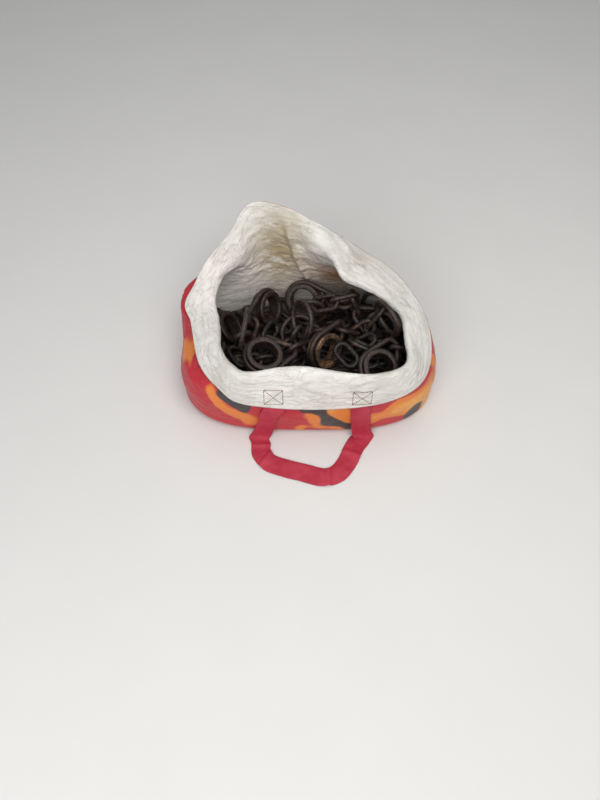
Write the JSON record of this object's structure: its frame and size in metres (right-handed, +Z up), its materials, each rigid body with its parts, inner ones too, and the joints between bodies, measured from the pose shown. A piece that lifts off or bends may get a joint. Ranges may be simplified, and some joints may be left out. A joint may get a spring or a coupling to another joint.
{
  "type": "heap of iron chain",
  "caption": "Heap of short forged iron chains, each a flanged bush in a pear-shaped loop, oval links and a ring, in a slumped woven bag with its rim turned out.",
  "frame": {"origin": "on the flat base of the bag, at the point below the middle of the heap, where it stands on the floor", "axes": "+X to the bag's right, along its long side; +Y away from the front handle, towards the raised rear panel; +Z up"},
  "size_m": [0.46, 0.4185, 0.2534],
  "materials": {
    "iron": "forged, dark brown-black scale with rubbed edges and patches of rust",
    "bag_cloth": "woven plastic with a dull off-white lining, crinkled and stained, and a printed red and orange outside",
    "webbing": "crimson woven plastic webbing, dull"
  },
  "bodies": {
    "root": {"bag_shell": "bag_cloth", "chain_1_bush": "iron", "chain_1_link_1": "iron", "chain_1_link_2": "iron", "chain_1_link_3": "iron", "chain_1_loop": "iron", "chain_1_ring": "iron", "chain_2_bush": "iron", "chain_2_link_1": "iron", "chain_2_link_2": "iron", "chain_2_link_3": "iron", "chain_2_loop": "iron", "chain_2_ring": "iron", "chain_3_bush": "iron", "chain_3_link_1": "iron", "chain_3_link_2": "iron", "chain_3_link_3": "iron", "chain_3_loop": "iron", "chain_3_ring": "iron", "chain_4_bush": "iron", "chain_4_link_1": "iron", "chain_4_link_2": "iron", "chain_4_link_3": "iron", "chain_4_loop": "iron", "chain_4_ring": "iron", "chain_5_bush": "iron", "chain_5_link_1": "iron", "chain_5_link_2": "iron", "chain_5_link_3": "iron", "chain_5_loop": "iron", "chain_5_ring": "iron", "chain_6_bush": "iron", "chain_6_link_1": "iron", "chain_6_link_2": "iron", "chain_6_link_3": "iron", "chain_6_loop": "iron", "chain_6_ring": "iron", "chain_7_bush": "iron", "chain_7_link_1": "iron", "chain_7_link_2": "iron", "chain_7_link_3": "iron", "chain_7_loop": "iron", "chain_7_ring": "iron", "chain_8_bush": "iron", "chain_8_link_1": "iron", "chain_8_link_2": "iron", "chain_8_link_3": "iron", "chain_8_loop": "iron", "chain_8_ring": "iron", "chain_9_bush": "iron", "chain_9_link_1": "iron", "chain_9_link_2": "iron", "chain_9_link_3": "iron", "chain_9_loop": "iron", "chain_9_ring": "iron", "front_handle": "webbing", "heap_core": "iron", "rear_handle": "webbing"}
  },
  "joints": []
}
